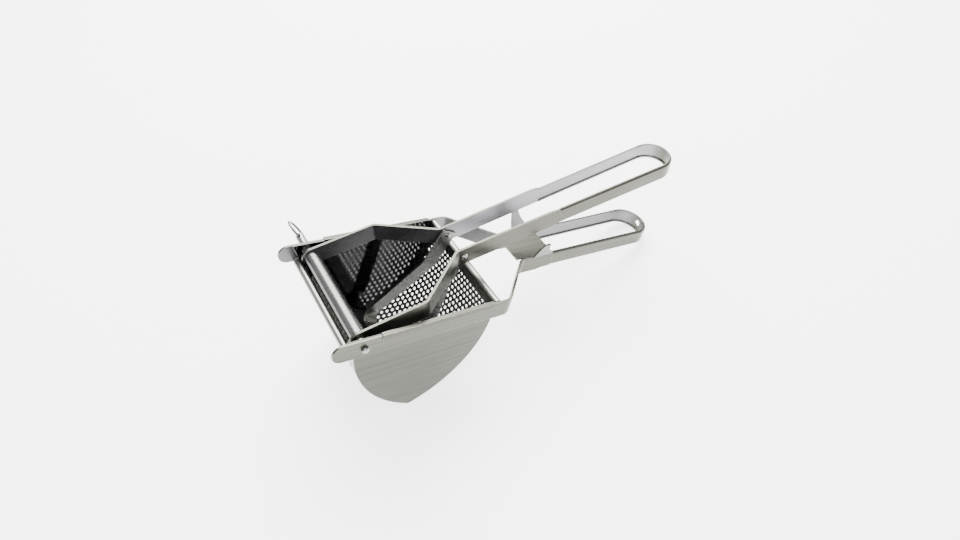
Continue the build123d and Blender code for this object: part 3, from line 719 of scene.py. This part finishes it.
FINISHES = {
    "hopper_side_near": PLATE,
    "hopper_side_far": PLATE,
    "pressing_plate": PRESS,
    "press_brace": BRACE,
    "brace_rivets": BRIGHT,
    "hinge_pin": BRIGHT,
    "hinge_spacer_near": BRIGHT,
    "hinge_spacer_far": BRIGHT,
    "pin_ring": WIRE,
}
for node in frame["nodes"]:
    if not node.endswith("_wall"):
        plain = LEVER if node.startswith("lever_") else STRAP
        soften(node, EDGE_ROUNDING, [FINISHES.get(node, plain)])

sheet_tree, sheet_sockets = make_sheet_tree()
front_line = wall_profile(FRONT_BEND, FRONT_BELLY, FRONT_BEND[1], FRONT_LIP_RADIUS, FRONT_LIP_TURN, -1)
rear_line = wall_profile(REAR_BEND, REAR_BELLY, -REAR_RIM_RADIUS, REAR_RIM_RADIUS, REAR_RIM_TURN, 1)
perforated_wall(
    "front_screen",
    "hopper_front_wall",
    front_line,
    belly_length(FRONT_BEND, FRONT_BELLY),
    FRONT_MARGIN,
    sheet_tree,
    sheet_sockets,
    [SHEET_OUT, HOPPER_INSIDE_PAINTED_SHADE],
)
perforated_wall(
    "rear_screen",
    "hopper_rear_wall",
    rear_line,
    belly_length(REAR_BEND, REAR_BELLY),
    REAR_MARGIN,
    sheet_tree,
    sheet_sockets,
    [SHEET_OUT, HOPPER_INSIDE_PAINTED_SHADE],
)


# ---- floor, light and camera ----
CAMERA_POINT = Vector((-0.1740, -0.2970, 0.4244))
CAMERA_LOOK = Vector((0.3037, 0.5704, -0.7633))
CAMERA_ROLL = math.radians(3.74)
CAMERA_LENS = 24.0
CAMERA_SENSOR = 36.0
CAMERA_NEAREST = 0.01
WORLD_BRIGHT_SIDE = Vector((0.35, 0.25, 0.9)).normalized()
WORLD_STRENGTH = 1.25
WORLD_SHADE = (0.30, 0.31, 0.33, 1.0)
WORLD_LIGHT = (1.0, 1.0, 0.99, 1.0)
WORLD_SPREAD = 0.9
FLOOR_REACH = 3.0
FLOOR_DARK = (0.955, 0.955, 0.955, 1)
FLOOR_LIGHT = (0.975, 0.975, 0.97, 1)
FLOOR_ROUGHNESS = 0.95
FLOOR_GLOSS = 0.1
FLOOR_GLOW = 2.6
FIBRE_SCALE = 90.0


def make_floor():
    """Large pale floor under the object."""
    mesh = bpy.data.meshes.new("floor")
    corners = [
        (-FLOOR_REACH, -FLOOR_REACH, 0),
        (FLOOR_REACH, -FLOOR_REACH, 0),
        (FLOOR_REACH, FLOOR_REACH, 0),
        (-FLOOR_REACH, FLOOR_REACH, 0),
    ]
    mesh.from_pydata(corners, [], [(0, 1, 2, 3)])
    floor = bpy.data.objects.new("floor", mesh)
    bpy.context.scene.collection.objects.link(floor)
    material = bpy.data.materials.new("floor_paper")
    material.use_nodes = True
    shader = material.node_tree.nodes["Principled BSDF"]
    n = Nodes(material.node_tree)
    spot = n.add("ShaderNodeTexCoord").outputs["Object"]
    fibre = n.add("ShaderNodeTexNoise", {"Vector": spot, "Scale": FIBRE_SCALE, "Detail": 3.0}).outputs[0]
    n.feed(shader.inputs["Base Color"], blend_colour(n, fibre, FLOOR_DARK, FLOOR_LIGHT))
    shader.inputs["Roughness"].default_value = FLOOR_ROUGHNESS
    shader.inputs["Specular IOR Level"].default_value = FLOOR_GLOSS
    shader.inputs["Emission Color"].default_value = (1.0, 1.0, 1.0, 1.0)
    shader.inputs["Emission Strength"].default_value = FLOOR_GLOW
    mesh.materials.append(material)


def make_light(name, place, target, size, power, colour=(1, 1, 1)):
    """Soft square area light."""
    lamp = bpy.data.lights.new(name, "AREA")
    lamp.shape = "RECTANGLE"
    lamp.size, lamp.size_y = size
    lamp.energy = power
    lamp.color = colour
    holder = bpy.data.objects.new(name, lamp)
    holder.location = place
    holder.rotation_euler = (Vector(target) - Vector(place)).to_track_quat("-Z", "Y").to_euler()
    bpy.context.scene.collection.objects.link(holder)


def make_world():
    """Soft studio surroundings: bright overhead and ahead, with a darker side for the steel to mirror."""
    world = bpy.data.worlds.new("studio")
    world.use_nodes = True
    n = Nodes(world.node_tree)
    world.node_tree.nodes.clear()
    way = n.add("ShaderNodeTexCoord").outputs["Generated"]
    toward = n.add("ShaderNodeVectorMath", {0: way, 1: WORLD_BRIGHT_SIDE}, operation="DOT_PRODUCT")
    shade = smooth_step(n, toward.outputs["Value"], -WORLD_SPREAD, WORLD_SPREAD)
    colour = blend_colour(n, shade, WORLD_SHADE, WORLD_LIGHT)
    sky = n.add("ShaderNodeBackground", {"Color": colour, "Strength": WORLD_STRENGTH})
    n.add("ShaderNodeOutputWorld", {"Surface": sky.outputs[0]})
    bpy.context.scene.world = world


def make_camera():
    """Camera at the viewing angle."""
    lens = bpy.data.cameras.new("camera")
    lens.lens = CAMERA_LENS
    lens.sensor_width = CAMERA_SENSOR
    lens.clip_start = CAMERA_NEAREST
    camera = bpy.data.objects.new("camera", lens)
    turn = CAMERA_LOOK.to_track_quat("-Z", "Y").to_matrix().to_4x4()
    turn = turn @ Matrix.Rotation(-CAMERA_ROLL, 4, "Z")
    camera.matrix_world = Matrix.Translation(CAMERA_POINT) @ turn
    bpy.context.scene.collection.objects.link(camera)
    bpy.context.scene.camera = camera


make_floor()
make_world()
make_light("back_panel", (0.42, 0.75, 1.05), (0, 0, 0.03), (1.3, 0.9), 62, (1.0, 0.99, 0.95))
make_light("top_light", (-0.1, -0.1, 1.3), (0, 0, 0), (1.2, 1.2), 12)
make_light("front_light", (-0.6, -0.9, 0.6), (0, 0, 0.05), (0.8, 0.5), 4.0, (1.0, 0.98, 0.92))
make_camera()
